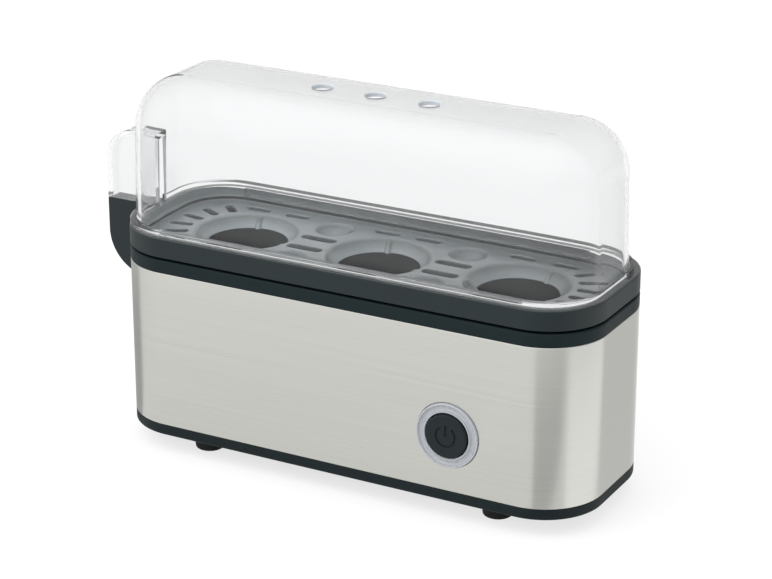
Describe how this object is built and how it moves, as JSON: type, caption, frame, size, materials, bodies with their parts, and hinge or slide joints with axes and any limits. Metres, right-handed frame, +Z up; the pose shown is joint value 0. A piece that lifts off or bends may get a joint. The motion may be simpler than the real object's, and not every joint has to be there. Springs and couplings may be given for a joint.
{
  "type": "electric egg cooker",
  "caption": "Long electric egg cooker with a clear lift-off lid, a lift-out tray of egg seats over a heated water pan, a steel body and a push button.",
  "frame": {"origin": "on the table under the middle of the overall length, grip included, and under the middle of the width", "axes": "+X along the body away from the grip, -Y out of the front with the button, +Z up"},
  "size_m": [0.248, 0.0851, 0.165],
  "materials": {
    "clear_lid": "clear moulded plastic, polished",
    "dark_plastic": "dark blue-grey plastic, fine matte",
    "steel": "brushed along the body",
    "black_plastic": "black plastic, fine matte",
    "foot_rubber": "black rubber",
    "pan_coat": "dark non-stick coat",
    "silicone": "red silicone",
    "heater_tube": "dull steel tube",
    "plated_steel": "zinc plated",
    "thermostat_case": "bare",
    "fuse_case": "bare",
    "glass_sleeve": "braided glass fibre",
    "button_plastic": "black plastic, satin",
    "white_plastic": "off-white plastic",
    "clear_ring": "clear plastic, polished",
    "board": "lacquered board",
    "lamp": "clear lens",
    "brass": "bare",
    "lead_cover": "heat-proof insulation"
  },
  "bodies": {
    "housing": {"upper_frame": "dark_plastic", "steel_shell": "steel", "base_plate": "black_plastic", "feet": "foot_rubber", "heating_pan": "pan_coat", "pan_seal": "silicone", "heating_element": "heater_tube", "heater_terminals": "plated_steel", "thermostat": "thermostat_case", "thermostat_clip": "plated_steel", "pan_straps": "plated_steel", "pan_nuts": "plated_steel", "thermal_fuse": "fuse_case", "fuse_sleeve": "glass_sleeve", "light_ring": "clear_ring", "button_bush": "black_plastic", "led_board": "board", "leds": "lamp", "power_switch": "black_plastic", "switch_terminals": "brass", "cord_gland": "foot_rubber", "terminal_block": "white_plastic", "terminal_screws": "plated_steel", "earth_tab": "brass", "wiring": "lead_cover", "base_screws": "plated_steel"},
    "egg_tray": {"egg_tray": "dark_plastic"},
    "lid": {"lid": "clear_lid"},
    "power_button": {"power_button": "button_plastic", "switch_plunger": "white_plastic"}
  },
  "joints": [
    {"name": "tray_lift", "type": "slide", "parent": "housing", "child": "egg_tray", "axis": [0, 0, 1], "range_m": [0, 0.05]},
    {"name": "lid_lift", "type": "slide", "parent": "egg_tray", "child": "lid", "axis": [0, 0, 1], "range_m": [0, 0.08]},
    {"name": "button_press", "type": "slide", "parent": "housing", "child": "power_button", "axis": [0, 1, 0], "range_m": [0, 0.0025], "stiffness_N_per_m": 900, "springref_m": -0.001}
  ]
}
